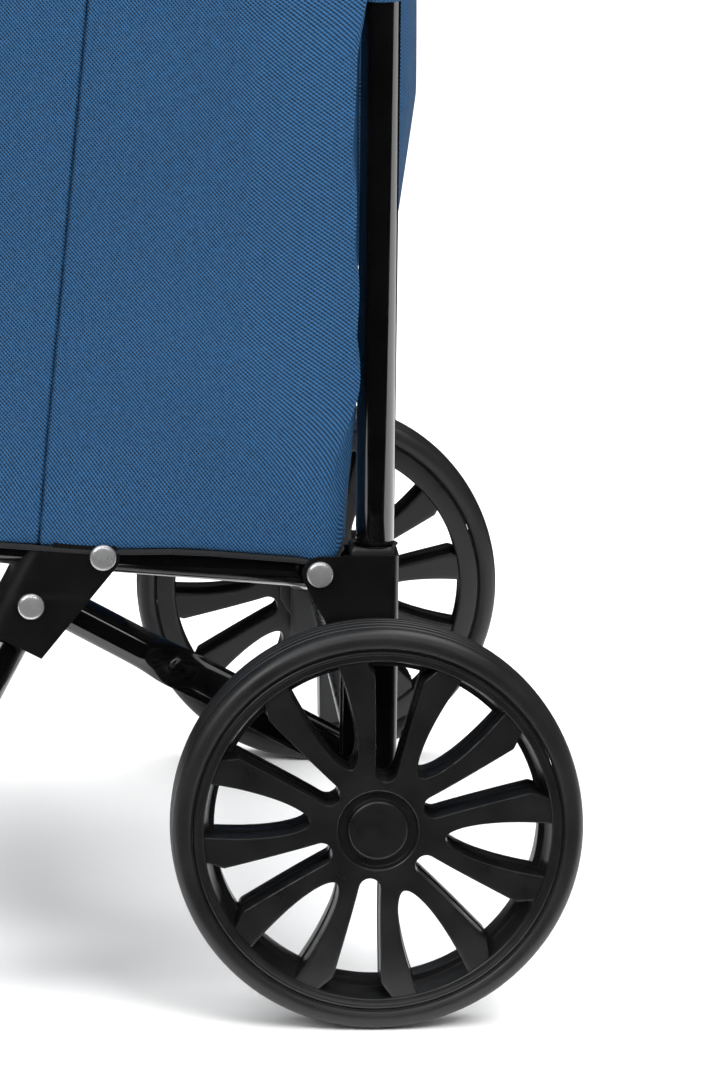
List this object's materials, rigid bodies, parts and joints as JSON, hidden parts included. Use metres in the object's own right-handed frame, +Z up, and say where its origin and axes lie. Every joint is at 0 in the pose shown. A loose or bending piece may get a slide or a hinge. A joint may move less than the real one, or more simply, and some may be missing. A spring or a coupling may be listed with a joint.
{
  "type": "folding shopping trolley",
  "caption": "Upright shopping trolley on two spoked wheels, with a cloth bag on a folding tube platform and stand, a lid flap and a bar handle.",
  "frame": {"origin": "middle of the footprint on the floor", "axes": "+Z up, +X to the trolley's left as its user sees it from behind, -Y towards the bag's front, +Y towards the user"},
  "size_m": [0.468, 0.3516, 0.9995],
  "materials": {
    "black_tube": "gloss powder coat on steel tube",
    "black_sheet": "satin powder coat on folded sheet steel",
    "bright_steel": "bright zinc-plated steel",
    "grip_foam": "matt moulded foam",
    "collar_plastic": "satin moulded plastic",
    "foot_rubber": "matt moulded rubber",
    "tyre_rubber": "satin moulded rubber with fine tread grooves",
    "rim_plastic": "satin injection-moulded plastic",
    "bush_plastic": "natural acetal",
    "blue_cloth": "woven polyester, fine basket weave",
    "black_webbing": "woven black tape",
    "board_plastic": "grey-black stiffener board"
  },
  "bodies": {
    "frame": {"upright_tube": "black_tube", "handle_grip": "grip_foam", "lower_crossbar": "black_tube", "upper_crossbar": "black_tube", "axle": "bright_steel", "axle_washers": "bright_steel", "axle_clips": "bright_steel", "main_rivets": "bright_steel", "brace_rivets": "bright_steel", "axle_channel_left": "black_sheet", "axle_channel_right": "black_sheet", "channel_collar_left": "collar_plastic", "channel_collar_right": "collar_plastic", "brace_spacer_left": "bright_steel", "brace_spacer_right": "bright_steel", "bag_shell": "blue_cloth", "bag_piping": "black_webbing", "rear_pocket": "blue_cloth", "bag_loops": "blue_cloth", "bag_tabs": "black_webbing"},
    "platform": {"platform_tube": "black_tube", "platform_slats": "black_sheet", "base_board": "board_plastic"},
    "stand": {"stand_leg": "black_tube", "leg_bracket_left": "black_sheet", "leg_bracket_right": "black_sheet", "bracket_rivets": "bright_steel", "leg_rivets": "bright_steel", "foot_pad_left": "foot_rubber", "foot_pad_right": "foot_rubber"},
    "brace_left": {"brace_left": "black_tube", "brace_pin_left": "bright_steel"},
    "brace_right": {"brace_right": "black_tube", "brace_pin_right": "bright_steel"},
    "wheel_left": {"tyre_left": "tyre_rubber", "rim_left": "rim_plastic", "wheel_bush_left": "bush_plastic", "hub_cap_left": "rim_plastic"},
    "wheel_right": {"tyre_right": "tyre_rubber", "rim_right": "rim_plastic", "wheel_bush_right": "bush_plastic", "hub_cap_right": "rim_plastic"},
    "lid": {"bag_lid": "blue_cloth"}
  },
  "joints": [
    {"name": "platform_fold", "type": "hinge", "parent": "frame", "child": "platform", "pos_m": [0, 0.0679, 0.1855], "axis": [-1, 0, 0], "range_deg": [0, 85], "deforming": ["bag_shell", "bag_piping", "rear_pocket"]},
    {"name": "stand_fold", "type": "hinge", "parent": "platform", "child": "stand", "pos_m": [0, -0.0212, 0.1929], "axis": [1, 0, 0], "range_deg": [0, 100.7]},
    {"name": "brace_left_fold", "type": "hinge", "parent": "frame", "child": "brace_left", "pos_m": [0.1695, 0.0835, 0.1], "axis": [-1, 0, 0], "range_deg": [0, 47.3]},
    {"name": "brace_right_fold", "type": "hinge", "parent": "frame", "child": "brace_right", "pos_m": [-0.1695, 0.0835, 0.1], "axis": [-1, 0, 0], "range_deg": [0, 47.3]},
    {"name": "wheel_left_spin", "type": "hinge", "parent": "frame", "child": "wheel_left", "pos_m": [0.22, 0.091, 0.085], "axis": [1, 0, 0], "continuous": true},
    {"name": "wheel_right_spin", "type": "hinge", "parent": "frame", "child": "wheel_right", "pos_m": [-0.22, 0.091, 0.085], "axis": [1, 0, 0], "continuous": true},
    {"name": "lid_open", "type": "hinge", "parent": "frame", "child": "lid", "pos_m": [0, 0.0792, 0.74636], "axis": [-1, 0, 0], "range_deg": [0, 90]}
  ],
  "couplings": [
    {"joint": "stand_fold", "follows": "platform_fold", "ratio": 1.1788},
    {"joint": "brace_left_fold", "follows": "platform_fold", "ratio": 0.55059},
    {"joint": "brace_right_fold", "follows": "platform_fold", "ratio": 0.55059}
  ]
}
